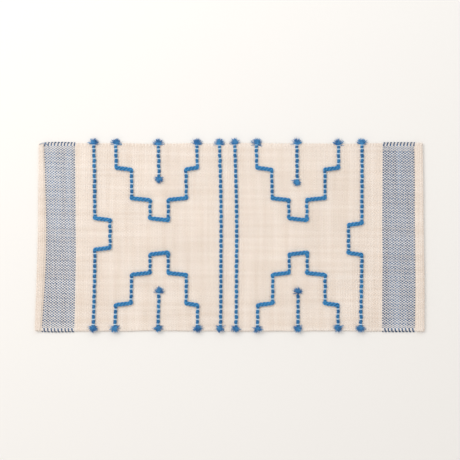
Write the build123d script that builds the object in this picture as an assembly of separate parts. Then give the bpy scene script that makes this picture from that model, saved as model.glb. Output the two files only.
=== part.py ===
"""Hand-woven cotton runner rug with bold blue inlay yarns, in millimetres.

X runs along the length, Y across the width and Z up. The origin is the centre of the underside.
The rug is a plain-weave cloth with a folded hem and a blue band at each end. Thick blue yarns are
laid over its face. A warp ties them down at regular rows, so they show as rows of beads, and they
float free where a pattern steps sideways. Their cut ends stand out as tufts.
"""

import math
import os

from build123d import *

# Cloth
rug_length = 1220.0  # from end fold to end fold
rug_width = 597.0  # from selvedge to selvedge
cloth_thickness = 5.0
warp_count = 152  # warps across the width
weft_pitch = 5.25  # from one pick to the next
band_picks = 19  # blue picks in each end band
hem_width = 25.5  # folded strip past each band
hem_slope = 8.0  # length over which the cloth climbs onto its turned-under end
selvedge_width = 11.0

# Inlay yarns
warps_per_bead = 4  # three warps under the yarn, then one over it
row_shift = 3.6  # the bead rows sit a little nearer the upper edge
yarn_width = 12.3  # across a bead
float_width = 14.4  # across a free float, where the yarn is loose
neck_width = 6.8  # across the yarn where a warp ties it down
tie_width = 3.2
tie_thickness = 1.3
tie_clearance = 0.15  # between a tie and the yarn under it
shoulder_gap = 0.65  # between a tie and the bead beside it
bead_rounding = 2.4  # radius of a bead's shoulders

# Places of the pattern along the length
centre_spacing = 49.0  # between the two centre lines
centre_shift = -7.5  # the pair sits a little to the left
# Picks between neighbouring columns, from a band inwards: band to edge line, edge line to bracket,
# bracket to staircase, the staircase's five treads, and staircase to centre line.
left_draft = (11, 9, 4, 9, 11, 11, 11, 7, 14)
right_draft = (14, 8, 6, 8, 11, 11, 10, 9, 13)
# Bead rows, counted from an edge of the rug
left_bracket_rows = (15, 20)
right_bracket_rows = (16, 21)
stair_rows = ((0, 4), (5, 10), (11, 14), (14, 11), (10, 5), (4, 0))
float_leaves = 0.35  # of a row past the last bead
float_lands = 0.30  # of a row before the next bead
tip_slant = 0.45  # of a row further, where a staircase turns back at its tip
short_line_rows = {"upper_left": 5, "upper_right": 6, "lower_left": 6, "lower_right": 5}

# Tufts
tuft_reach = 12.0  # past the edge of the cloth
tuft_width = 27.0
tuft_root_width = 8.0
tuft_thickness = 6.0
face_tuft_width = 24.0
face_tuft_height = 8.0

# Trim
turn_width = 2.6  # a blue weft where it turns round the selvedge
turn_slant = 14.0  # degrees off the width direction
stitch_length = 4.2
stitch_width = 1.2
stitch_height = 0.8
tail_length = 19.0
tail_width = 2.0

# Worked out from the sizes above
half_length = rug_length / 2
half_width = rug_width / 2
top = cloth_thickness
hem_thickness = 2 * cloth_thickness - 0.5  # two layers, pressed
band_width = band_picks * weft_pitch
band_outer = half_length - hem_width
band_inner = band_outer - band_width
cloth_half_width = half_width - selvedge_width
warp_pitch = rug_width / (warp_count - 1)
row_pitch = warps_per_bead * warp_pitch
last_row = warp_count // warps_per_bead - 2
tie_gap = tie_width + 2 * shoulder_gap


def row_y(row):
    """Y of a bead row. Row 0 is the one nearest the upper edge, and half rows are tie-downs."""
    return row_shift + (last_row / 2 - row) * row_pitch


def from_edge(rows, side):
    """Rows counted from the upper edge (side 1) or the lower edge (side -1), as row numbers."""
    return [row if side > 0 else last_row - row for row in rows]


def columns(draft, side):
    """X of the eight columns of one half, from the edge line inwards."""
    start = side * band_inner
    end = centre_shift + side * centre_spacing / 2
    picks = 0
    places = []
    for step in draft[:-1]:
        picks += step
        places.append(start + (end - start) * picks / sum(draft))
    return places


def box(x0, x1, y0, y1, z0, z1):
    """A block between two corners."""
    middle = ((x0 + x1) / 2, (y0 + y1) / 2, (z0 + z1) / 2)
    return Pos(*middle) * Box(abs(x1 - x0), abs(y1 - y0), z1 - z0)


def hem(side):
    """A folded end: the cloth climbs onto its turned-under end and rounds over at the fold."""
    radius = hem_thickness / 2
    fold = half_length - radius
    climb = band_outer + hem_slope
    outline = Polyline(
        (fold, 0), (band_outer, 0), (band_outer, top), (climb, hem_thickness), (fold, hem_thickness)
    )
    nose = ThreePointArc((fold, hem_thickness), (half_length, radius), (fold, 0))
    section = Plane.XZ * make_face([*outline.edges(), nose])
    solid = Pos(0, half_width, 0) * extrude(section, rug_width)
    return solid if side > 0 else mirror(solid, Plane.YZ)


def selvedge(side):
    """Doubled edge warps: a flat strip with a half-round outer edge, between the two hems."""
    radius = top / 2
    outer = half_width - radius
    straight = Polyline((outer, 0), (cloth_half_width, 0), (cloth_half_width, top), (outer, top))
    nose = ThreePointArc((outer, top), (half_width, radius), (outer, 0))
    section = Plane.YZ * make_face([*straight.edges(), nose])
    solid = Pos(-band_outer, 0, 0) * extrude(section, 2 * band_outer)
    return solid if side > 0 else mirror(solid, Plane.XZ)


def half_round(edges, x, y, angle):
    """Half of a turned shape, flat side down on the cloth, with its axis at an angle to X."""
    return Pos(x, y, top) * Rot(0, 0, angle) * revolve(make_face(edges), Axis.X, 180)


def bead(near, far):
    """The outline of one bead from neck to neck: a short barrel with rounded shoulders."""
    neck, crown = neck_width / 2, yarn_width / 2
    shoulder = crown - bead_rounding
    slope = bead_rounding * (1 - math.sqrt(0.5))
    near_crown, far_crown = near + bead_rounding, far - bead_rounding
    return [
        Line((near, neck), (near, shoulder)),
        ThreePointArc((near, shoulder), (near + slope, crown - slope), (near_crown, crown)),
        Line((near_crown, crown), (far_crown, crown)),
        ThreePointArc((far_crown, crown), (far - slope, crown - slope), (far, shoulder)),
        Line((far, shoulder), (far, neck)),
    ]


def beaded_run(x, first, last, neck_before, neck_after):
    """The beads of rows first to last on one column, with a bare neck before and after them."""
    step = 1 if last >= first else -1
    neck = neck_width / 2
    begin = row_y(first - step / 2) - step * (tie_gap / 2 - neck_before)
    edges = [Line((0, 0), (0, neck))]
    reached = 0.0
    for row in range(first, last + step, step):
        near = step * (begin - row_y(row - step / 2)) + tie_gap / 2
        far = step * (begin - row_y(row + step / 2)) - tie_gap / 2
        if near - reached > 0.01:
            edges.append(Line((reached, neck), (near, neck)))
        edges += bead(near, far)
        reached = far
    length = reached + neck_after
    if neck_after:
        edges.append(Line((reached, neck), (length, neck)))
    edges.append(Line((length, neck), (length, 0)))
    edges.append(Line((length, 0), (0, 0)))
    return half_round(edges, x, begin, -90 * step)


def free_float(x0, row0, x1, row1):
    """The yarn floating over the cloth from one column to the next, with round ends."""
    radius = float_width / 2
    slope = radius * math.sqrt(0.5)
    y0, y1 = row_y(row0), row_y(row1)
    length = math.hypot(x1 - x0, y1 - y0)
    edges = [
        ThreePointArc((-radius, 0), (-slope, slope), (0, radius)),
        Line((0, radius), (length, radius)),
        ThreePointArc((length, radius), (length + slope, slope), (length + radius, 0)),
        Line((length + radius, 0), (-radius, 0)),
    ]
    return half_round(edges, x0, y0, math.degrees(math.atan2(y1 - y0, x1 - x0)))


def inlay(runs):
    """A whole yarn from cut end to cut end. A run is (x, first row, last row)."""
    solids = []
    left_at = None
    step_before = None
    for number, (x, first, last) in enumerate(runs):
        step = 1 if last >= first else -1
        neck_before = 0 if left_at else tie_gap
        if left_at:
            lands = float_lands
            if step != step_before:
                lands += tip_slant
                neck_before = (lands - 0.5) * row_pitch + tie_gap / 2
            solids.append(free_float(*left_at, x, first - lands * step))
        neck_after = tie_gap if number == len(runs) - 1 else 0
        solids.append(beaded_run(x, first, last, neck_before, neck_after))
        left_at = (x, last + float_leaves * step)
        step_before = step
    return solids[0].fuse(*solids[1:]) if len(solids) > 1 else solids[0]


def ties(runs):
    """The warps that cross over a yarn: between its beads and just before each cut end."""
    arch_inner = neck_width / 2 + tie_clearance
    arch_outer = arch_inner + tie_thickness
    arch = Plane.XZ * (Circle(arch_outer) - Circle(arch_inner))
    half = arch & Plane.XZ * (Pos(0, arch_outer) * Rectangle(2 * arch_outer, 2 * arch_outer))
    solid = extrude(half, tie_width / 2, both=True)
    places = []
    for x, first, last in runs:
        low, high = min(first, last), max(first, last)
        places += [(x, row + 0.5) for row in range(low, high)]
    for x, first, last in (runs[0], (runs[-1][0], runs[-1][2], runs[-1][1])):
        outwards = -0.5 if first <= last else 0.5
        places.append((x, first + outwards))
    return [Pos(x, row_y(row), top) * solid for x, row in places]


def edge_tuft(x, side):
    """A cut end on a long edge: the yarn fans out past the selvedge. It lies on the cloth's top."""
    root = row_y(-0.5) + tie_gap / 2 if side > 0 else -row_y(last_row + 0.5) + tie_gap / 2
    tip = half_width + tuft_reach
    shoulder = tip - tuft_width / 5
    outline = Polyline(
        (-tuft_width / 2, shoulder),
        (-tuft_root_width / 2, root),
        (tuft_root_width / 2, root),
        (tuft_width / 2, shoulder),
    )
    brush = ThreePointArc((tuft_width / 2, shoulder), (0, tip), (-tuft_width / 2, shoulder))
    solid = extrude(make_face([*outline.edges(), brush]), tuft_thickness)
    if side < 0:
        solid = mirror(solid, Plane.XZ)
    return Pos(x, 0, top) * solid


def face_tuft(x, last, side):
    """A cut end on the face: a low round brush, cut flat where its yarn's neck meets it."""
    radius = face_tuft_width / 2
    quarter = Ellipse(radius, face_tuft_height) & (
        Pos(radius / 2, face_tuft_height / 2) * Rectangle(radius, face_tuft_height)
    )
    dome = revolve(Plane.XZ * quarter, Axis.Z, 360)
    neck_end = row_y(last + 0.5 * side) - side * tie_gap / 2
    inset = 0.8 * radius
    beyond = Pos(0, side * (inset + radius), 0) * Box(3 * radius, 2 * radius, 4 * face_tuft_height)
    return Pos(x, neck_end - side * inset, top) * (dome - beyond)


def weft_turns(side_x, side_y):
    """The blue wefts of one band turning round a selvedge, one for every two picks."""
    rod = revolve(Plane.XY * Pos(0, turn_width / 4) * Rectangle(
        selvedge_width - 2 * turn_width, turn_width / 2), Axis.X, 180)
    count = band_picks // 2
    middle = half_width - selvedge_width / 2 - turn_width / 2
    solids = []
    for number in range(count):
        x = band_inner + (2 * number + 1.5) * weft_pitch
        solids.append(Pos(side_x * x, side_y * middle, top) * Rot(0, 0, 90 - turn_slant) * rod)
    return solids


def hem_stitches(side):
    """White stitches across the rug that hold the turned-under end: one for every two warps."""
    x = side * (band_outer - stitch_width)
    count = int(rug_width / (2 * warp_pitch)) - 3
    solids = []
    for number in range(count):
        y = (number - (count - 1) / 2) * 2 * warp_pitch
        stitch = Box(stitch_width, stitch_length, stitch_height)
        solids.append(Pos(x, y, top + stitch_height / 2) * stitch)
    return solids


def write(name, shape):
    """One STEP file for one node."""
    solids = shape if isinstance(shape, list) else [shape]
    whole = solids[0] if len(solids) == 1 else Compound(children=solids)
    whole.label = name
    export_step(whole, f"parts/{name}.step")


def build_cloth():
    write("ground_cloth", box(-band_inner, band_inner, -cloth_half_width, cloth_half_width, 0, top))
    for name, side in (("left", -1), ("right", 1)):
        ends = sorted((side * band_inner, side * band_outer))
        write(f"band_cloth_{name}", box(*ends, -cloth_half_width, cloth_half_width, 0, top))
        write(f"end_hem_{name}", hem(side))
        write(f"hem_stitches_{name}", hem_stitches(side))
    for name, side in (("upper", 1), ("lower", -1)):
        write(f"selvedge_{name}", selvedge(side))
        write(f"weft_turns_{name}_left", weft_turns(-1, side))
        write(f"weft_turns_{name}_right", weft_turns(1, side))


def build_weft_tail():
    """The loose end of a blue weft, left lying on the hem along the upper edge."""
    rod = revolve(Plane.XY * Pos(0, tail_width / 4) * Rectangle(tail_length, tail_width / 2), Axis.X, 180)
    lies_on = half_length - hem_thickness - tail_length / 2 - 1
    write("weft_tail", Pos(-lies_on, half_width - 2 * tail_width, hem_thickness) * rod)


def build_pattern():
    left = columns(left_draft, -1)
    right = columns(right_draft, 1)
    centre = [centre_shift - centre_spacing / 2, centre_shift + centre_spacing / 2]
    tied = {name: [] for name in ("left_line", "left_stairs", "centre", "right_stairs", "right_line")}
    tufts = []

    def lay(name, group, runs):
        write(name, inlay(runs))
        tied[group] += ties(runs)

    for name, places, rows in (
        ("left", left, left_bracket_rows),
        ("right", right, right_bracket_rows),
    ):
        line, bracket = places[0], places[1]
        runs = [(line, 0, rows[0] - 1), (bracket, *rows), (line, rows[1] + 1, last_row)]
        lay(f"inlay_edge_line_{name}", f"{name}_line", runs)
        tufts.append((f"tuft_edge_line_{name}", line))
        stair = sorted(places[2:])
        short = (stair[2] + stair[3]) / 2
        for level, side in (("upper", 1), ("lower", -1)):
            runs = [(x, *from_edge(rows, side)) for x, rows in zip(stair, stair_rows)]
            lay(f"inlay_staircase_{level}_{name}", f"{name}_stairs", runs)
            first, last = from_edge((0, short_line_rows[f"{level}_{name}"]), side)
            lay(f"inlay_short_line_{level}_{name}", f"{name}_stairs", [(short, first, last)])
            write(f"tuft_short_line_{name}_{level}_inner", face_tuft(short, last, side))
        tufts.append((f"tuft_short_line_{name}", short))
        tufts.append((f"tuft_staircase_{name}_a", stair[0]))
        tufts.append((f"tuft_staircase_{name}_b", stair[-1]))
    for name, x in zip(("left", "right"), centre):
        lay(f"inlay_centre_line_{name}", "centre", [(x, 0, last_row)])
        tufts.append((f"tuft_centre_line_{name}", x))
    for name, x in tufts:
        write(f"{name}_upper", edge_tuft(x, 1))
        write(f"{name}_lower", edge_tuft(x, -1))
    for group, arches in tied.items():
        write(f"tie_warps_{group}", arches)


os.makedirs("parts", exist_ok=True)
build_cloth()
build_weft_tail()
build_pattern()
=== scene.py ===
"""The looks of the hand-woven runner rug: every warp and weft, the blue inlay yarns and their tufts.

The cloth is woven here yarn by yarn. Sizes are in millimetres until a mesh is made, which is in
metres. X runs along the rug, Y across it and Z up, as in the CAD frame.
"""

import math

import bpy
import numpy as np
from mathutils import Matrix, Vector


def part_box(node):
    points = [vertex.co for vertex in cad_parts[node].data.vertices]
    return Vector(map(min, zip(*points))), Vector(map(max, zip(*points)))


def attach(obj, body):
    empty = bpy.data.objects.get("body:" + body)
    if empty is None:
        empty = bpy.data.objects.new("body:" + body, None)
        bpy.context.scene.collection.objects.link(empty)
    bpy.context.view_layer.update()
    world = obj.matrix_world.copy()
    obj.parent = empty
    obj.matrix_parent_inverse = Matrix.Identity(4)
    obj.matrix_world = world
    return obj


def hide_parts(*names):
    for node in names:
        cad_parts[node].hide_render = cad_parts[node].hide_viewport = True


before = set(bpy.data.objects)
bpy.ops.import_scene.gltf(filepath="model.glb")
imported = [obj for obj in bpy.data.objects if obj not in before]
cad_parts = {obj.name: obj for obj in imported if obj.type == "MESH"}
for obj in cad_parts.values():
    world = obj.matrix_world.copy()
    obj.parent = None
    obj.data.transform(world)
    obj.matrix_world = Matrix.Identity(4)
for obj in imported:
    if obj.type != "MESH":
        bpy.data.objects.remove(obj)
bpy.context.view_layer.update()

METRE = 0.001
rng = np.random.default_rng(11)


def corners(node):
    """Lowest and highest corner of a CAD node, in millimetres."""
    low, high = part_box(node)
    return np.array(low) / METRE, np.array(high) / METRE


# Sizes of the cloth, from the frame
half_length, half_width, hem_top = corners("end_hem_right")[1]
hem_start = corners("end_hem_right")[0][0]
band_start = corners("band_cloth_right")[0][0]
cloth_top = corners("ground_cloth")[1][2]

# The weave
warp_count = 152
weft_pitch = 5.25
hem_weft_pitch = 5.1
warp_width, warp_height = 3.8, 2.3
uneven_width = 0.05  # how much a yarn's width varies, as a share
left_swell, right_swell = 1.2, 1.08  # how much wider the warps spread between the blue wefts
selvedge_swell = 1.2  # how much thicker the selvedges' warps are
band_stain = 0.16  # how much of the blue wefts' dye has run into them
weft_width, weft_height = 4.9, 2.3
crimp = 1.25  # how far a yarn rises and falls from the middle of the cloth
selvedge_warps = 3  # thick ones on each edge, which the wefts pass as one
pair_depth = 15.0  # within this of a long edge the wefts that turn into each other draw together
pull_in = 0.55  # by this share of their distance
pair_lean = 2.0  # how far they lean along the rug on the way to the edge
weft_end_narrowing = 0.8  # the wefts are thinner where they turn
blue_turn_out = 2.6  # how much further a blue weft turns out past the edge than a cream one
turn_out = 2.2  # the cream wefts' reach past the last warp
shaded_turn_rings = 6  # rings of a blue weft at each long edge, where it turns, painted in shade
tie_top, tie_flank = 2.2, 6.5  # half a tie's level top, and the length of each slope beside it
web_height = 0.45  # half the thickness of the matted fibres between the yarns
web_rows, web_columns = 420, 70  # points of its mesh along and across the cloth
turn_under = 14.0  # cloth folded back under each end
hem_slope = 8.0  # length over which the cloth climbs onto its folded end
tube_sides = 6  # of a warp or weft

# The outer warps and rows are drawn in: those from squeeze_start to plain_end end at squeezed_margin
# inside the edge
squeeze_start, plain_end, squeezed_margin = 275.0, 300.1, 5.0

# The bead rows and the inlay yarns
warp_pitch = 2 * half_width / (warp_count - 1)
warps_per_bead = 4
row_pitch = warps_per_bead * warp_pitch
row_shift = 3.6
last_row = warp_count // warps_per_bead - 2
bead_radius = 6.0
float_radius = 7.1
neck_radius = 2.4
bead_half_length = 6.7
flatness = 0.62  # height of an inlay yarn over its width
sink = 0.68  # height of its middle over the cloth, in half heights


def row_y(row):
    """Y of a bead row, counted from the upper edge."""
    return row_shift + (last_row / 2 - row) * row_pitch


# ---------------------------------------------------------------- the cloth's own surface

def hem_path():
    """The middle of the cloth from its centre to one end: s along it, then x and z."""
    middle = cloth_top / 2
    radius = (hem_top - 2 * middle) / 2
    centre_z = hem_top / 2
    fold_x = half_length - hem_top / 2
    upper = centre_z + radius
    share = np.linspace(0, 1, 25)
    ease = share * share * (3 - 2 * share)
    turn = np.linspace(0, math.pi, 25)
    x = np.concatenate((
        [0, hem_start - 0.1],
        hem_start + hem_slope * share,
        fold_x + radius * np.sin(turn),
        [fold_x - turn_under],
    ))
    z = np.concatenate((
        [middle, middle],
        middle + (upper - middle) * ease,
        centre_z + radius * np.cos(turn),
        [centre_z - radius],
    ))
    s = np.concatenate(([0], np.cumsum(np.hypot(np.diff(x), np.diff(z)))))
    fine = np.linspace(0, s[-1], 4000)
    return fine, np.interp(fine, s, x), np.interp(fine, s, z)


path_s, path_x, path_z = hem_path()
half_cloth = path_s[-1]
slope_x = np.gradient(path_x, path_s)
slope_z = np.gradient(path_z, path_s)


wave_height = 0.35  # of the cloth's slight waves
calm_end = 60.0  # the waves die out over this length before each end
upper_closer = 2.2  # how far the rows of the upper half sit nearer the middle
edge_line_x = band_start - 12 * weft_pitch  # near the edge lines of the pattern

# How far hand weaving and washing have shifted the cloth's cross lines along X, in whole
# millimetres: (place along the length, at the upper edge, in the middle, at the lower edge)
cross_lines = np.array((
    (-half_length, 5, 2, -4),
    (-hem_start, -6, 4, -9),
    (-band_start, -8, -2, -5),
    (-edge_line_x, -5, 2, -2),
    (-edge_line_x / 2, 0, 3, -1),
    (0, -4, 2, 0),
    (edge_line_x / 2, -3, 0, -2),
    (edge_line_x, 2, 0, -4),
    (band_start, -5, -8, -10),
    (hem_start, -4, -4, -7),
    (half_length, -3, -1, -2),
))


def bow(x, y):
    """The shift of the cloth along X at a place."""
    across = y / half_width
    upper, middle, lower = (np.interp(x, cross_lines[:, 0], cross_lines[:, n]) for n in (1, 2, 3))
    wander = 0.5 * np.sin(x / 61 + 2.1 * across) + 0.4 * np.sin(5.3 * across + x / 143)
    curve = ((upper + lower) / 2 - middle) * across * across
    return middle + (upper - lower) / 2 * across + curve + wander


def edge_wander(x, y):
    """How far the long edges and the rows wander along Y at a place."""
    across = y / half_width
    wave = 0.8 * np.sin(x / 83 + 1.0) + 0.5 * np.sin(x / 31) + 0.35 * np.sin(x / 17 + 2)
    closer = upper_closer * np.sin(math.pi * np.clip(across, 0, 1) ** 0.7)
    return wave * across ** 3 - closer


def lift(x, y):
    """The slight waves of a cloth that was rolled up before it was laid out."""
    wave = np.sin(x / 95 + 0.6 * np.sin(y / 130)) + 0.6 * np.sin(x / 41 + y / 90 + 1.3)
    return wave_height * (1.6 + wave)


def on_cloth(s, y, height):
    """Places at s along the cloth and y across it, at a height over its middle, with its normals."""
    side = np.sign(s) + (s == 0)
    along = np.abs(s)
    x = np.interp(along, path_s, path_x)
    z = np.interp(along, path_s, path_z)
    nx = -np.interp(along, path_s, slope_z)
    nz = np.interp(along, path_s, slope_x)
    place_x = side * (x + nx * height)
    place = np.stack((
        place_x + bow(side * x, y),
        y + edge_wander(side * x, y),
        z + nz * height + lift(side * x, y) * np.clip((half_length - x) / calm_end, 0, 1),
    ), -1)
    normal = np.stack((side * nx, np.zeros_like(nx), nz), -1)
    return place, normal / np.linalg.norm(normal, axis=-1, keepdims=True)


# ---------------------------------------------------------------- tubes

def unit(vectors):
    """Vectors of length 1 in the same directions."""
    return vectors / np.maximum(np.linalg.norm(vectors, axis=-1, keepdims=True), 1e-9)


def sweep(paths, ups, widths, heights, sides):
    """Tubes along paths (tube, ring, xyz), as points, faces and the two UV maps of their corners.

    widths and heights are the tubes' half sizes along the cloth and off it, one for each ring. The
    first UV map is an atlas with one strip for each tube. The second gives the distance along the
    tube in millimetres and the share of the way round it.
    """
    count, rings = paths.shape[:2]
    tangent = unit(np.gradient(paths, axis=1))
    across = unit(np.cross(tangent, ups))
    up = np.cross(across, tangent)
    angle = 2 * math.pi * np.arange(sides) / sides
    points = (
        paths[:, :, None]
        + np.cos(angle)[:, None] * widths[..., None, None] * across[:, :, None]
        + np.sin(angle)[:, None] * heights[..., None, None] * up[:, :, None]
    )
    tube, ring, side = np.meshgrid(
        np.arange(count), np.arange(rings - 1), np.arange(sides), indexing="ij"
    )
    after = (side + 1) % sides
    first = (tube * rings + ring) * sides
    faces = np.stack((first + side, first + after, first + sides + after, first + sides + side), -1)
    steps = np.linalg.norm(np.diff(paths, axis=1), axis=-1)
    reached = np.concatenate((np.zeros((count, 1)), np.cumsum(steps, axis=1)), axis=1)
    ring_at = np.stack((ring, ring, ring + 1, ring + 1), -1)
    side_at = np.stack((side, side + 1, side + 1, side), -1)
    atlas_u = (ring_at + 0.02) / (rings - 0.96)
    atlas_v = (tube[..., None] + 0.06 + 0.88 * side_at / sides) / count
    along = reached[tube[..., None], ring_at]
    caps = []
    for place in (0, rings - 1):
        start = (np.arange(count) * rings + place) * sides
        loop = np.arange(sides)[::-1] if place == 0 else np.arange(sides)
        caps.append(start[:, None] + loop)
    return {
        "points": points.reshape(-1, 3),
        "faces": faces.reshape(-1, 4),
        "caps": np.concatenate(caps),
        "atlas": np.stack((atlas_u, atlas_v), -1).reshape(-1, 2),
        "yarn": np.stack((along, side_at / sides), -1).reshape(-1, 2),
    }


def mesh_object(name, made, material):
    """A smooth mesh piece in metres. Its end caps share the first texel of the atlas."""
    quads, caps = made["faces"], made["caps"]
    sides = caps.shape[1]
    mesh = bpy.data.meshes.new(name)
    mesh.vertices.add(len(made["points"]))
    mesh.vertices.foreach_set("co", (made["points"] * METRE).astype(np.float32).ravel())
    corners_of_caps = len(caps) * sides
    mesh.loops.add(len(quads) * 4 + corners_of_caps)
    mesh.loops.foreach_set("vertex_index", np.concatenate((quads.ravel(), caps.ravel())))
    mesh.polygons.add(len(quads) + len(caps))
    starts = np.concatenate((
        np.arange(len(quads)) * 4, len(quads) * 4 + np.arange(len(caps)) * sides
    ))
    mesh.polygons.foreach_set("loop_start", starts)
    mesh.update(calc_edges=True)
    for layer, values in (("OFBake", made["atlas"]), ("yarn", made["yarn"])):
        round_cap = 0.004 * np.stack((np.arange(sides) % 2, np.arange(sides) // 2 / sides), -1)
        on_caps = np.tile(round_cap, (len(caps), 1)) + values[0]
        data = np.concatenate((values, on_caps)).astype(np.float32)
        mesh.uv_layers.new(name=layer).data.foreach_set("uv", data.ravel())
    if "dye_and_painted_light" in made:
        dye_and_painted_light = mesh.attributes.new("dye_and_painted_light", "FLOAT", "POINT")
        dye_and_painted_light.data.foreach_set("value", made["dye_and_painted_light"].astype(np.float32))
    mesh.polygons.foreach_set("use_smooth", np.ones(len(mesh.polygons), bool))
    mesh.validate()
    piece = bpy.data.objects.new(name, mesh)
    bpy.context.scene.collection.objects.link(piece)
    mesh.materials.append(material)
    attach(piece, "root")
    return piece


# ---------------------------------------------------------------- materials

def srgb(red, green, blue):
    """A colour given as it looks on a screen, 0 to 255, as Blender's linear colour."""
    values = [v / 255 for v in (red, green, blue)]
    linear = [v / 12.92 if v <= 0.04045 else ((v + 0.055) / 1.055) ** 2.4 for v in values]
    return (*linear, 1)


class Nodes:
    """Short calls for making one material's nodes."""

    def __init__(self, name):
        self.material = bpy.data.materials.new(name)
        self.material.use_nodes = True
        self.tree = self.material.node_tree
        self.shader = self.tree.nodes["Principled BSDF"]

    def add(self, kind, **settings):
        """A new node with some of its settings."""
        node = self.tree.nodes.new(kind)
        for key, value in settings.items():
            setattr(node, key, value)
        return node

    def link(self, source, target):
        self.tree.links.new(source, target)

    def noise(self, vector, scale, detail, stretch=(1, 1, 1)):
        """Noise that may be stretched along an axis, so that it makes streaks."""
        mapping = self.add("ShaderNodeMapping")
        mapping.inputs["Scale"].default_value = stretch
        self.link(vector, mapping.inputs["Vector"])
        texture = self.add("ShaderNodeTexNoise")
        texture.inputs["Scale"].default_value = scale
        texture.inputs["Detail"].default_value = detail
        self.link(mapping.outputs["Vector"], texture.inputs["Vector"])
        return texture.outputs["Fac"]

    def spread(self, value, low, high):
        """Maps noise about its middle onto the range from low to high."""
        node = self.add("ShaderNodeMapRange")
        node.inputs["From Min"].default_value = 0.3
        node.inputs["From Max"].default_value = 0.7
        node.inputs["To Min"].default_value = low
        node.inputs["To Max"].default_value = high
        self.link(value, node.inputs["Value"])
        return node.outputs["Result"]

    def product(self, first, second):
        """Two values multiplied."""
        node = self.add("ShaderNodeMath", operation="MULTIPLY")
        self.link(first, node.inputs[0])
        self.link(second, node.inputs[1])
        return node.outputs["Value"]

    def blend(self, share, first, second):
        """A mix of two fixed colours."""
        node = self.add("ShaderNodeMix", data_type="RGBA")
        self.link(share, node.inputs["Factor"])
        node.inputs["A"].default_value = first
        node.inputs["B"].default_value = second
        return node.outputs["Result"]

    def turn_to(self, colour, share, other):
        """The colour, changed into another one by a share."""
        node = self.add("ShaderNodeMix", data_type="RGBA")
        self.link(share, node.inputs["Factor"])
        self.link(colour, node.inputs["A"])
        node.inputs["B"].default_value = other
        return node.outputs["Result"]

    def shade(self, colour, share):
        """The colour made darker or lighter by a factor."""
        node = self.add("ShaderNodeVectorMath", operation="SCALE")
        self.link(colour, node.inputs["Vector"])
        self.link(share, node.inputs["Scale"])
        return node.outputs["Vector"]


def yarn_material(name, light, dark, ply_pitch, streaks, sheen, groove_shade_depth, dye_and_painted_light_colour=None):
    """Spun cotton: two tones that mix yarn by yarn, the ply twist as painted shade in its grooves and
    painted light on its ridges, loose fibres and a soft sheen.

    streaks stretches the noise that makes one yarn differ from the next, ply_pitch is the length of
    one turn of the twist in millimetres, and the depth of the painted groove shade is how dark the grooves
    between the plies are painted.
    The last argument is the colour that takes over where the mesh's own attribute of dye and painted light
    is 1:
    on the warps dye that has run into them, on the blue wefts painted shade where they turn at the long
    edges and a darker blue on the band's first and last weft, on the inlay yarns a painted highlight on
    their outer strands.
    """
    n = Nodes(name)
    place = n.add("ShaderNodeTexCoord").outputs["Object"]
    yarn = n.add("ShaderNodeUVMap", uv_map="yarn").outputs["UV"]
    split = n.add("ShaderNodeSeparateXYZ")
    n.link(yarn, split.inputs["Vector"])
    turns = n.add("ShaderNodeMath", operation="MULTIPLY_ADD")
    n.link(split.outputs["X"], turns.inputs[0])
    turns.inputs[1].default_value = 2 * math.pi / ply_pitch
    around = n.add("ShaderNodeMath", operation="MULTIPLY")
    n.link(split.outputs["Y"], around.inputs[0])
    around.inputs[1].default_value = 4 * math.pi
    n.link(around.outputs["Value"], turns.inputs[2])
    twist = n.add("ShaderNodeMath", operation="SINE")
    n.link(turns.outputs["Value"], twist.inputs[0])
    # Painted shade in the grooves of the ply twist, and a little painted light on its ridges.
    ply_groove_shade = n.add("ShaderNodeMapRange")
    ply_groove_shade.inputs["From Min"].default_value = -1
    ply_groove_shade.inputs["To Min"].default_value = 1 - groove_shade_depth
    ply_groove_shade.inputs["To Max"].default_value = 1 + groove_shade_depth / 3
    n.link(twist.outputs["Value"], ply_groove_shade.inputs["Value"])
    yarns = n.noise(place, 60, 1.5, streaks)
    clouds = n.spread(n.noise(place, 9, 2), 0.975, 1.02)
    fibres = n.noise(place, 900, 3)
    tone = n.blend(n.spread(yarns, 0, 1), dark, light)
    if dye_and_painted_light_colour:
        # Mix in the mesh's own dye and painted light: dye run into the warps, painted shade on the blue
        # wefts' turns, a painted highlight on the inlay yarns' outer strands.
        tone = n.turn_to(tone, n.add("ShaderNodeAttribute", attribute_name="dye_and_painted_light").outputs["Fac"], dye_and_painted_light_colour)
    tone = n.shade(tone, n.product(clouds, ply_groove_shade.outputs["Result"]))
    tone = n.shade(tone, n.spread(fibres, 0.93, 1.05))
    n.link(tone, n.shader.inputs["Base Color"])
    bump = n.add("ShaderNodeBump")
    bump.inputs["Strength"].default_value = 0.25
    bump.inputs["Distance"].default_value = 0.0004
    n.link(fibres, bump.inputs["Height"])
    n.link(bump.outputs["Normal"], n.shader.inputs["Normal"])
    n.link(n.spread(fibres, 0.82, 0.96), n.shader.inputs["Roughness"])
    n.shader.inputs["Specular IOR Level"].default_value = 0.2
    n.shader.inputs["Sheen Weight"].default_value = sheen
    n.shader.inputs["Sheen Roughness"].default_value = 0.6
    return n.material


along_weft = (1, 0.04, 0.3)
along_warp = (0.04, 1, 0.3)
cream_light, cream_dark = srgb(250, 239, 229), srgb(238, 223, 209)
blue_light, blue_dark = srgb(115, 146, 182), srgb(64, 92, 130)
inlay_light, inlay_dark = srgb(46, 132, 188), srgb(14, 88, 144)
crest_highlight_blue = srgb(60, 148, 206)  # painted highlight: the outer strands of a thick yarn, painted lighter where they would catch the light
pale_blue = srgb(184, 218, 242)  # dye that has run into warps, at the ties and in the bands
turn_shade_blue = srgb(66, 88, 120)  # painted shade on the blue wefts where they turn over the long edges

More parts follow.
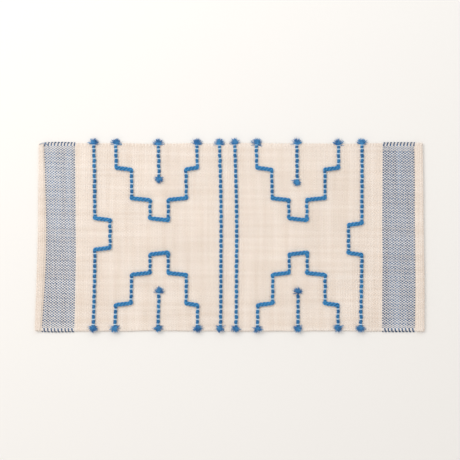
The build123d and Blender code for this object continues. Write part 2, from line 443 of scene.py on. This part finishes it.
warp_cotton = yarn_material("warp_cotton", cream_light, cream_dark, 5, along_warp, 0.15, 0.08, pale_blue)
weft_cotton = yarn_material("weft_cotton", cream_light, cream_dark, 6, along_weft, 0.15, 0.08)
blue_cotton = yarn_material("blue_cotton", blue_light, blue_dark, 6, along_weft, 0.1, 0.15, turn_shade_blue)
inlay_cotton = yarn_material(
    "inlay_cotton", inlay_light, inlay_dark, 9, (1, 1, 1), 0.2, 0.18, crest_highlight_blue
)
tuft_cotton = yarn_material(
    "tuft_cotton", srgb(72, 150, 204), srgb(30, 104, 166), 9, (1, 1, 1), 0.2, 0.1
)
stitch_cotton = yarn_material("stitch_cotton", srgb(252, 247, 240), cream_light, 2, (1, 1, 1), 0.1, 0.1)


# ---------------------------------------------------------------- the pattern's places

left_draft = (11, 9, 4, 9, 11, 11, 11, 7, 14)
right_draft = (14, 8, 6, 8, 11, 11, 10, 9, 13)
centre_columns = [
    float(np.mean([c[0] for c in corners(f"inlay_centre_line_{side}")]))
    for side in ("left", "right")
]


def columns(draft, start, end):
    """X of the columns of one half between a band and its centre line."""
    reached = np.cumsum(draft)[:-1]
    return sorted(start + (end - start) * reached / sum(draft))


left_columns = columns(left_draft, -band_start, centre_columns[0])
right_columns = columns(right_draft, band_start, centre_columns[1])

stair_rows = ((0, 4), (5, 10), (11, 14), (14, 11), (10, 5), (4, 0))
bracket_rows = {"left": (15, 20), "right": (16, 21)}
short_rows = {"left_upper": 5, "left_lower": 6, "right_upper": 6, "right_lower": 5}


def yarn_routes():
    """Every inlay yarn by its CAD name, as runs of (x, first row, last row) from end to end."""
    routes = {}
    for side, places in (("left", left_columns), ("right", right_columns)):
        outer = places if side == "left" else places[::-1]
        line, bracket = outer[0], outer[1]
        stair = sorted(outer[2:])
        first, last = bracket_rows[side]
        routes[f"edge_line_{side}"] = [
            (line, 0, first - 1), (bracket, first, last), (line, last + 1, last_row)
        ]
        short = (stair[2] + stair[3]) / 2
        for level in ("upper", "lower"):
            rows = stair_rows
            ends = (0, short_rows[f"{side}_{level}"])
            if level == "lower":
                rows = [(last_row - a, last_row - b) for a, b in rows]
                ends = (last_row, last_row - ends[1])
            routes[f"staircase_{level}_{side}"] = [(x, *r) for x, r in zip(stair, rows)]
            routes[f"short_line_{level}_{side}"] = [(short, *ends)]
    for side, x in zip(("left", "right"), centre_columns):
        routes[f"centre_line_{side}"] = [(x, 0, last_row)]
    return routes


routes = yarn_routes()


def tie_places(runs):
    """The (x, row) places where a warp crosses over a yarn."""
    places = []
    for x, first, last in runs:
        low, high = min(first, last), max(first, last)
        places += [(x, row + 0.5) for row in range(low, high)]
    for x, end, other in (runs[0], (runs[-1][0], runs[-1][2], runs[-1][1])):
        places.append((x, end - 0.5 if end <= other else end + 0.5))
    return places


all_ties = [place for runs in routes.values() for place in tie_places(runs)]


# ---------------------------------------------------------------- the woven cloth

def squeeze(y):
    """The warps and rows close up towards the long edges, where the wefts pull them in."""
    end = half_width - squeezed_margin
    beyond = np.maximum(np.abs(y) - squeeze_start, 0)
    kept = (end - squeeze_start) / (plain_end - squeeze_start)
    return np.sign(y) * (np.abs(y) - beyond * (1 - kept))


def warp_places():
    """Y of every warp. Their shift puts a warp on every tie row."""
    shift = row_shift - warp_pitch / 2
    plain = (np.arange(warp_count) - (warp_count - 1) / 2) * warp_pitch + shift
    return squeeze(plain)


def weft_places():
    """The distance along the cloth of every weft, and the wefts' numbers by kind."""
    def cells(start, end, pitch):
        count = round((end - start) / pitch)
        return start + (end - start) * (np.arange(count) + 0.5) / count

    hem = cells(hem_start, half_cloth, hem_weft_pitch)
    band = cells(band_start, hem_start, weft_pitch)
    field = cells(-band_start, band_start, weft_pitch)
    groups = {
        "hem_left": -hem[::-1], "blue_left": -band[::-1], "field": field,
        "blue_right": band, "hem_right": hem,
    }
    numbers, first = {}, 0
    for kind, places in groups.items():
        numbers[kind] = np.arange(first, first + len(places))
        first += len(places)
    return np.concatenate(list(groups.values())), numbers


warp_y = warp_places()
weft_s, weft_numbers = weft_places()


def bundled(numbers):
    """Warp numbers in which each selvedge's warps count as one, so they rise and fall together."""
    return np.clip(numbers, selvedge_warps - 1, warp_count - selvedge_warps)


def warp_lift(numbers, s):
    """How far each warp is lifted off the cloth where it ties an inlay yarn down, 0 to 1."""
    lifted = np.zeros((len(numbers), len(s)))
    for x, row in all_ties:
        number = round(warp_count - warps_per_bead - warps_per_bead * row)
        if number in numbers:
            away = np.clip((np.abs(s - x) - tie_top) / tie_flank, 0, 1)
            index = number - numbers[0]
            lifted[index] = np.maximum(lifted[index], np.cos(away * math.pi / 2) ** 2)
    return lifted


def make_warps(numbers):
    """Tubes for some of the warps, with a ring on every weft and one between."""
    ends = (-half_cloth, half_cloth)
    middles = (weft_s[1:] + weft_s[:-1]) / 2
    s = np.sort(np.concatenate((weft_s, middles, ends)))
    over = np.zeros(len(s))
    over[1:-1:2] = (-1.0) ** np.arange(len(weft_s))
    outer = (numbers < selvedge_warps) | (numbers >= warp_count - selvedge_warps)
    thick = np.where(outer, selvedge_swell, 1.0)
    height = crimp * over * ((-1.0) ** bundled(numbers) / thick)[:, None]
    lifted = warp_lift(numbers, s)
    tie_height = cloth_top / 2 + (1 + sink) * flatness * neck_radius + warp_height / 2
    height = height * (1 - lifted) + tie_height * lifted
    grid_s = np.broadcast_to(s, height.shape)
    uneven = 0.35 * np.sin(s / 37 + 1.7 * numbers[:, None]) + 0.25 * rng.standard_normal(height.shape)
    places, normals = on_cloth(grid_s, warp_y[numbers][:, None] + uneven * (1 - lifted), height)
    in_band = (np.abs(s) > band_start) & (np.abs(s) < hem_start)
    swell = np.where(in_band, np.where(s < 0, left_swell, right_swell), 1)
    varied = 1 + uneven_width * rng.standard_normal(height.shape)
    width = warp_width / 2 * swell * thick[:, None] * varied
    made = sweep(places, normals, width, width * warp_height / warp_width, tube_sides)
    made["dye_and_painted_light"] = np.repeat(np.maximum(lifted ** 3, band_stain * in_band).ravel(), tube_sides)
    return made


def make_wefts(numbers, further_out):
    """Tubes for some of the wefts. At each edge one turns back to join its neighbour."""
    middles = (warp_y[1:] + warp_y[:-1]) / 2
    y = np.sort(np.concatenate((warp_y, middles)))
    over = np.zeros(len(y))
    over[::2] = (-1.0) ** bundled(np.arange(warp_count))
    over[1::2] = (over[:-1:2] + over[2::2]) / 2
    height = -crimp * over * ((-1.0) ** numbers)[:, None]
    s = np.repeat(weft_s[numbers][:, None], len(y), axis=1)
    s = s + 0.3 * np.sin(y / 29 + 2.3 * numbers[:, None]) + 0.15 * rng.standard_normal(s.shape)
    turn = np.linspace(0.25, 1, 4) * math.pi / 2
    ends = []
    for edge, odd in ((-1, 1), (1, 0)):
        partner = np.where(numbers % 2 == odd, numbers + 1, numbers - 1)
        partner = np.clip(partner, 0, len(weft_s) - 1)
        near_edge = np.clip((edge * y - (half_width - pair_depth)) / pair_depth, 0, 1)
        drawn_in = pull_in * near_edge * (3 - 2 * near_edge) * near_edge
        s = s + drawn_in * ((weft_s[partner] - weft_s[numbers]) / 2)[:, None] + pair_lean * near_edge
        half_gap = (1 - pull_in) * (weft_s[partner] - weft_s[numbers]) / 2
        start_y = edge * (np.abs(warp_y[0 if edge < 0 else -1]) + 0.4)
        out = turn_out + further_out
        last_s = s[:, :1] if edge < 0 else s[:, -1:]
        end_s = last_s + half_gap[:, None] * (1 - np.cos(turn))
        end_y = np.broadcast_to(start_y + edge * out * np.sin(turn), end_s.shape)
        last = height[:, :1] if edge < 0 else height[:, -1:]
        end_height = last * np.cos(turn)
        ends.append((end_s, end_y, end_height))
    low, high = ends
    y = np.broadcast_to(y, s.shape)
    s = np.concatenate((low[0][:, ::-1], s, high[0]), axis=1)
    y = np.concatenate((low[1][:, ::-1], y, high[1]), axis=1)
    height = np.concatenate((low[2][:, ::-1], height, high[2]), axis=1)
    places, normals = on_cloth(s, y, height)
    width = weft_width / 2 * (1 + uneven_width * rng.standard_normal(s.shape))
    width[:, :len(turn)] *= weft_end_narrowing
    width[:, -len(turn):] *= weft_end_narrowing
    made = sweep(places, normals, width, width * weft_height / weft_width, tube_sides)
    dye_and_painted_light = np.zeros(s.shape)
    # Painted shade on the blue wefts where they turn at the long edges.
    if further_out:
        dye_and_painted_light[:, :shaded_turn_rings] = dye_and_painted_light[:, -shaded_turn_rings:] = 1
        dye_and_painted_light[[0, -1]] = 0.7  # the band's own first and last weft, drawn in a darker blue
    made["dye_and_painted_light"] = np.repeat(dye_and_painted_light.ravel(), tube_sides)
    return made


def make_web():
    """The matted fibres in the middle of the cloth, which close the gaps between its yarns."""
    s = np.linspace(-half_cloth + 1, half_cloth - 1, web_rows)
    y = np.linspace(warp_y[0], warp_y[-1], web_columns)
    grid_s, grid_y = np.meshgrid(s, y, indexing="ij")
    layers = [on_cloth(grid_s, grid_y, np.full(grid_s.shape, h))[0] for h in (web_height, -web_height)]
    rows, across = grid_s.shape
    index = np.arange(rows * across).reshape(rows, across)
    cell = np.stack((index[:-1, :-1], index[1:, :-1], index[1:, 1:], index[:-1, 1:]), -1)
    cell = cell.reshape(-1, 4)
    under = cell[:, ::-1] + rows * across
    rim = np.concatenate((index[0], index[1:, -1], index[-1, -2::-1], index[-2:0:-1, 0]))
    after = np.roll(rim, -1)
    side = np.stack((rim, after, after + rows * across, rim + rows * across), -1)
    faces = np.concatenate((cell, under, side))
    share = np.stack(((grid_s / half_cloth + 1) / 2, (grid_y / half_width + 1) / 2), -1)
    share = share.reshape(-1, 2) * (0.96, 0.46) + 0.02
    atlas = np.concatenate((share, share + (0, 0.5)))
    lengths = np.stack((grid_s, grid_y), -1).reshape(-1, 2)
    lengths = np.concatenate((lengths, lengths))
    return {
        "points": np.concatenate([layer.reshape(-1, 3) for layer in layers]),
        "faces": faces,
        "caps": np.zeros((0, tube_sides), int),
        "atlas": atlas[faces.ravel()],
        "yarn": lengths[faces.ravel()],
    }, np.abs(grid_s.ravel()[faces[:, 0] % (rows * across)])


def weave_cloth():
    """The web, the warps, the wefts, the stitches and the tail."""
    web, along = make_web()
    sheet = mesh_object("ground_web", web, weft_cotton)
    sheet.data.materials.append(blue_cotton)
    blue = (along > band_start) & (along < hem_start)
    sheet.data.polygons.foreach_set("material_index", blue.astype(np.int32))
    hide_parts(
        "ground_cloth", "band_cloth_left", "band_cloth_right", "end_hem_left", "end_hem_right"
    )
    tie_nodes = [f"tie_warps_{g}" for g in (
        "left_line", "left_stairs", "centre", "right_stairs", "right_line"
    )]
    groups = np.array_split(np.arange(warp_count), 5)
    for number, group in enumerate(groups):
        piece = mesh_object(f"warps_{number + 1}", make_warps(group), warp_cotton)
        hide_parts(*tie_nodes)
    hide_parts("selvedge_lower", *tie_nodes)
    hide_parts("selvedge_upper", *tie_nodes)
    for number, group in enumerate(np.array_split(weft_numbers["field"], 4)):
        piece = mesh_object(f"cream_wefts_{number + 1}", make_wefts(group, 0), weft_cotton)
    for side in ("left", "right"):
        piece = mesh_object(f"hem_wefts_{side}", make_wefts(weft_numbers[f"hem_{side}"], 0), weft_cotton)
        turned = make_wefts(weft_numbers[f"blue_{side}"], blue_turn_out)
        piece = mesh_object(f"blue_wefts_{side}", turned, blue_cotton)
        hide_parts(f"weft_turns_upper_{side}", f"weft_turns_lower_{side}")
        make_stitches(side)
    make_tail()


def make_stitches(side):
    """The white thread that holds a hem: short stitches, one for every two warps."""
    low, high = corners(f"hem_stitches_{side}")
    middle_s = (low[0] + high[0]) / 2
    starts = np.arange(low[1], high[1] - 3, 2 * warp_pitch)
    share = np.linspace(0, 1, 7)
    y = starts[:, None] + 4.4 * share
    s = np.full(y.shape, middle_s) + 0.5 * (share - 0.5)
    height = cloth_top / 2 - 0.9 + 1.6 * np.sin(math.pi * share) + 0 * y
    places, normals = on_cloth(s, y, height)
    radius = np.full(y.shape, 0.55)
    piece = mesh_object(f"stitches_{side}", sweep(places, normals, radius, radius, 6), stitch_cotton)
    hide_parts(f"hem_stitches_{side}")
    return piece


def smooth_line(points, count):
    """A smooth line through a few points, with count places on it."""
    points = np.array(points, float)
    share = np.linspace(0, 1, len(points))
    fine = np.linspace(0, 1, count)
    line = np.stack([np.interp(fine, share, points[:, axis]) for axis in range(3)], -1)
    for _ in range(count // 2):
        line[1:-1] = (line[:-2] + 2 * line[1:-1] + line[2:]) / 4
    return line


def make_tail():
    """The loose end of the outermost blue weft at the upper left corner, lying over the hem."""
    low, high = corners("weft_tail")
    left, right, y, z = low[0] - 3, high[0] + 1, high[1], hem_top
    line = smooth_line(
        ((right + 6, y - 9, z - 2), (right + 2, y - 4, z), (right - 4, y + 1, z + 1),
         (left + 9, y + 1.5, z + 1.5), (left + 3, y - 1, z + 1.5), (left, y - 4, z + 1)), 24,
    )
    ups = np.broadcast_to((0.0, 0.0, 1.0), line.shape)[None]
    radius = np.linspace(1.15, 0.6, len(line))[None]
    piece = mesh_object("loose_weft_tail", sweep(line[None], ups, radius, radius, 8), blue_cotton)
    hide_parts("weft_tail")
    return piece


# ---------------------------------------------------------------- the inlay yarns

# In rows of beads
leaves, lands = 0.35, 0.30  # past the last bead and before the next one, where a float starts and ends
tip_slant = 0.45  # further before the next bead, where a staircase turns back at its tip
cut_end = 0.62  # past the last bead, under the last tie
face_end = 0.95  # the same where a yarn ends on the face
long_ends = {"short_line_upper_left": 1.4, "short_line_lower_right": 1.9}  # two were cut longer


def yarn_line(name, runs):
    """The middle line of an inlay yarn on the flat cloth and its radius, about 0.5 mm apart."""
    last_end = long_ends.get(name, face_end) if name.startswith("short_line") else cut_end
    lines, radii = [], []
    step_before = None
    for number, (x, first, last) in enumerate(runs):
        step = 1 if last >= first else -1
        starts, stops = number == 0, number == len(runs) - 1
        landing = lands + (tip_slant if step_before and step != step_before else 0)
        start = first - step * (cut_end if starts else landing)
        end = last + step * (last_end if stops else leaves)
        rows = np.linspace(start, end, int(abs(end - start) * row_pitch / 0.5))
        from_tie = np.abs(rows % 1 - 0.5)  # 0 at a tie, 0.5 at the middle of a bead
        bead = 1 + 0.05 * np.sin(5.1 * np.round(rows) + x)
        from_middle = np.clip((0.5 - from_tie) * row_pitch / bead_half_length, 0, 1)
        swell = (1 - from_middle ** 2) ** 0.6
        radius = neck_radius + (bead_radius * bead - neck_radius) * swell
        if not starts:
            radius[(rows - first) * step < 0] = float_radius
        if not stops:
            radius[(rows - last) * step > 0] = float_radius
        jitter = 0.5 * np.sin(2.9 * np.round(rows) + x)
        line = np.stack((x + jitter, squeeze(row_y(rows))), -1)
        if lines:
            gap = np.linalg.norm(line[0] - lines[-1][-1])
            share = np.linspace(0, 1, int(gap / 0.5))[1:-1, None]
            lines.append(lines[-1][-1] * (1 - share) + line[0] * share)
            radii.append(np.full(len(share), float_radius))
        lines.append(line)
        radii.append(radius)
        step_before = step
    line = np.concatenate(lines)
    kernel = np.exp(-np.linspace(-2, 2, 21) ** 2)
    kernel /= kernel.sum()
    padded = np.pad(line, ((10, 10), (0, 0)), mode="edge")
    smooth = np.stack([np.convolve(padded[:, axis], kernel, "valid") for axis in range(2)], -1)
    return smooth, np.concatenate(radii)


ply_turn, strand_turn = 34.0, 16.0  # lengths of one turn of the twist
strand_radius, wisp_radius = 1.15, 0.4  # in a tuft
wisp_extra = 4  # a tuft's wisps reach this much further than its strands
strand_rest = 0.9  # height of a tuft's lowest strands over what they lie on


def bundle(line, radius):
    """A yarn of three plies of five strands each, twisted, lying on the cloth."""
    height = cloth_top / 2 + sink * flatness * radius
    middle, up = on_cloth(line[:, 0], line[:, 1], height)
    along = np.concatenate(([0], np.cumsum(np.linalg.norm(np.diff(middle, axis=0), axis=1))))
    tangent = unit(np.gradient(middle, axis=0))
    side = unit(np.cross(tangent, up))
    paths, crest_highlights = [], []
    for ply in range(3):
        turn = 2 * math.pi * (ply / 3 + along / ply_turn)
        for strand in range(5):
            spin = 2 * math.pi * (strand / 5 - along / strand_turn)
            out_side = 0.53 * np.cos(turn) + 0.27 * np.cos(spin)
            out_up = 0.53 * np.sin(turn) + 0.27 * np.sin(spin)
            offset = side * out_side[:, None] + up * (flatness * out_up)[:, None]
            paths.append(middle + offset * radius[:, None])
            # The outer strands get a painted highlight, full on the floats and weaker on the beads.
            crest = np.clip((np.hypot(out_side, out_up) - 0.5) / 0.3, 0, 1)
            crest_highlights.append(crest * np.where(radius == float_radius, 1, 0.35))
    paths = np.array(paths)
    ups = np.broadcast_to(up, paths.shape)
    thick = np.broadcast_to(0.215 * radius, paths.shape[:2])
    made = sweep(paths, ups, thick, thick * 0.85, 5)
    made["dye_and_painted_light"] = np.repeat(np.array(crest_highlights).ravel(), 5)
    return made


def tuft(x, y, outwards, number, on_face):
    """The cut end of a yarn: its strands part into a loose brush. outwards is 1 or -1 along Y."""
    dice = np.random.default_rng(100 + number)
    strands, wisps, rings = 70, 14, 8
    count = strands + wisps
    share = np.linspace(0, 1, rings)
    low_edge = not on_face and y < 0
    inwards, height = (3.5, 6.5) if low_edge else (0, 2.5)
    middle, _ = on_cloth(np.array(x), np.array(y + inwards), np.array(cloth_top / 2 + height))
    spread = 0.9 if on_face else 1.0 if y < 0 else 0.62
    angle = np.clip(dice.normal(0.15 * dice.normal(), spread, count), -1.9, 1.9)
    shortest, longest = (9, 17) if on_face or low_edge else (12, 21)
    length = dice.uniform(shortest, longest, count)
    length[strands:] += wisp_extra
    start = middle + dice.uniform(-1, 1, (count, 3)) * (2.6, 1.5, 1.6)
    ahead = np.stack((np.sin(angle), outwards * np.cos(angle), np.zeros(count)), -1)
    sideways = np.stack((np.cos(angle), -outwards * np.sin(angle), np.zeros(count)), -1)
    curl = dice.normal(0, 2.2, count)
    rise = dice.uniform(0, 7, count) if on_face else dice.uniform(-2, 5, count)
    fall = dice.uniform(1, 5, count) if on_face else dice.uniform(2, 9, count)
    paths = (
        start[:, None]
        + ahead[:, None] * (length[:, None] * share)[..., None]
        + sideways[:, None] * (curl[:, None] * share ** 2)[..., None]
    )
    beyond = np.abs(paths[..., 1]) > half_width + 1
    floor = np.where(beyond, strand_rest, cloth_top + strand_rest)
    height = start[:, 2:3] + rise[:, None] * share - fall[:, None] * share ** 2
    paths[..., 2] = np.maximum(height, floor)
    root = np.where(np.arange(count) < strands, strand_radius, wisp_radius)
    radius = root[:, None] * (1 - 0.6 * share)
    ups = np.broadcast_to((0.0, 0.0, 1.0), paths.shape)
    return sweep(paths, ups, radius, radius, 6)


def lay_inlays():
    """The inlay yarns, each with a brush at both ends that replaces the CAD's nearest tuft."""
    count = 0
    middles = {n: sum(corners(n)) / 2 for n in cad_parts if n.startswith("tuft_")}
    for name, runs in routes.items():
        line, radius = yarn_line(name, runs)
        piece = mesh_object(f"yarn_{name}", bundle(line[::3], radius[::3]), inlay_cotton)
        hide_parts(f"inlay_{name}")
        for place in (line[0], line[-1]):
            count += 1
            on_face = abs(place[1]) < half_width - 30
            outwards = -np.sign(place[1]) if on_face else np.sign(place[1])
            brush = mesh_object(
                f"brush_{count:02d}", tuft(place[0], place[1], outwards, count, on_face), tuft_cotton
            )
            nearest = min(middles, key=lambda n: np.hypot(*(middles[n][:2] - place)))
            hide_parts(nearest)


weave_cloth()
lay_inlays()


# ---------------------------------------------------------------- floor, light and camera

def make_floor():
    """A pale plain floor just under the rug."""
    bpy.ops.mesh.primitive_plane_add(size=14, location=(0, 0, -0.0002))
    floor = bpy.context.object
    floor.name = "floor"
    n = Nodes("floor_paper")
    n.shader.inputs["Base Color"].default_value = srgb(243, 240, 236)
    n.shader.inputs["Roughness"].default_value = 0.85
    floor.data.materials.append(n.material)


def make_light(name, place, size, power, colour):
    """A rectangular lamp that points at the middle of the rug."""
    data = bpy.data.lights.new(name, "AREA")
    data.shape = "RECTANGLE"
    data.size, data.size_y = size
    data.energy = power
    data.color = colour
    light = bpy.data.objects.new(name, data)
    light.location = place
    light.rotation_euler = (-Vector(place)).to_track_quat("-Z", "Y").to_euler()
    bpy.context.scene.collection.objects.link(light)


def light_room():
    """Soft light from all round, and a brighter window at the upper left."""
    world = bpy.data.worlds.new("studio")
    world.use_nodes = True
    background = world.node_tree.nodes["Background"]
    background.inputs["Color"].default_value = (1.0, 0.985, 0.972, 1)
    background.inputs["Strength"].default_value = 0.775
    bpy.context.scene.world = world
    make_light("window", (-2.6, 2.0, 3.0), (2.2, 2.2), 74, (1.0, 0.985, 0.965))
    make_light("far window", (0.2, 2.4, 1.5), (2.0, 1.0), 9, (0.8, 0.92, 1.0))


def make_camera():
    """A camera nearly straight above, with the rug a little below the middle of the picture."""
    data = bpy.data.cameras.new("camera")
    data.lens = 85
    data.clip_end = 50
    camera = bpy.data.objects.new("camera", data)
    bpy.context.scene.collection.objects.link(camera)
    target = Vector((-0.0019, 0.0228, 0))
    distance, elevation = 3.42, math.radians(87.4)
    back = Vector((0, -math.cos(elevation), math.sin(elevation)))
    camera.location = target + distance * back
    camera.rotation_euler = (-back).to_track_quat("-Z", "Y").to_euler()
    bpy.context.scene.camera = camera


make_floor()
light_room()
make_camera()
bpy.context.scene.view_settings.view_transform = "Standard"
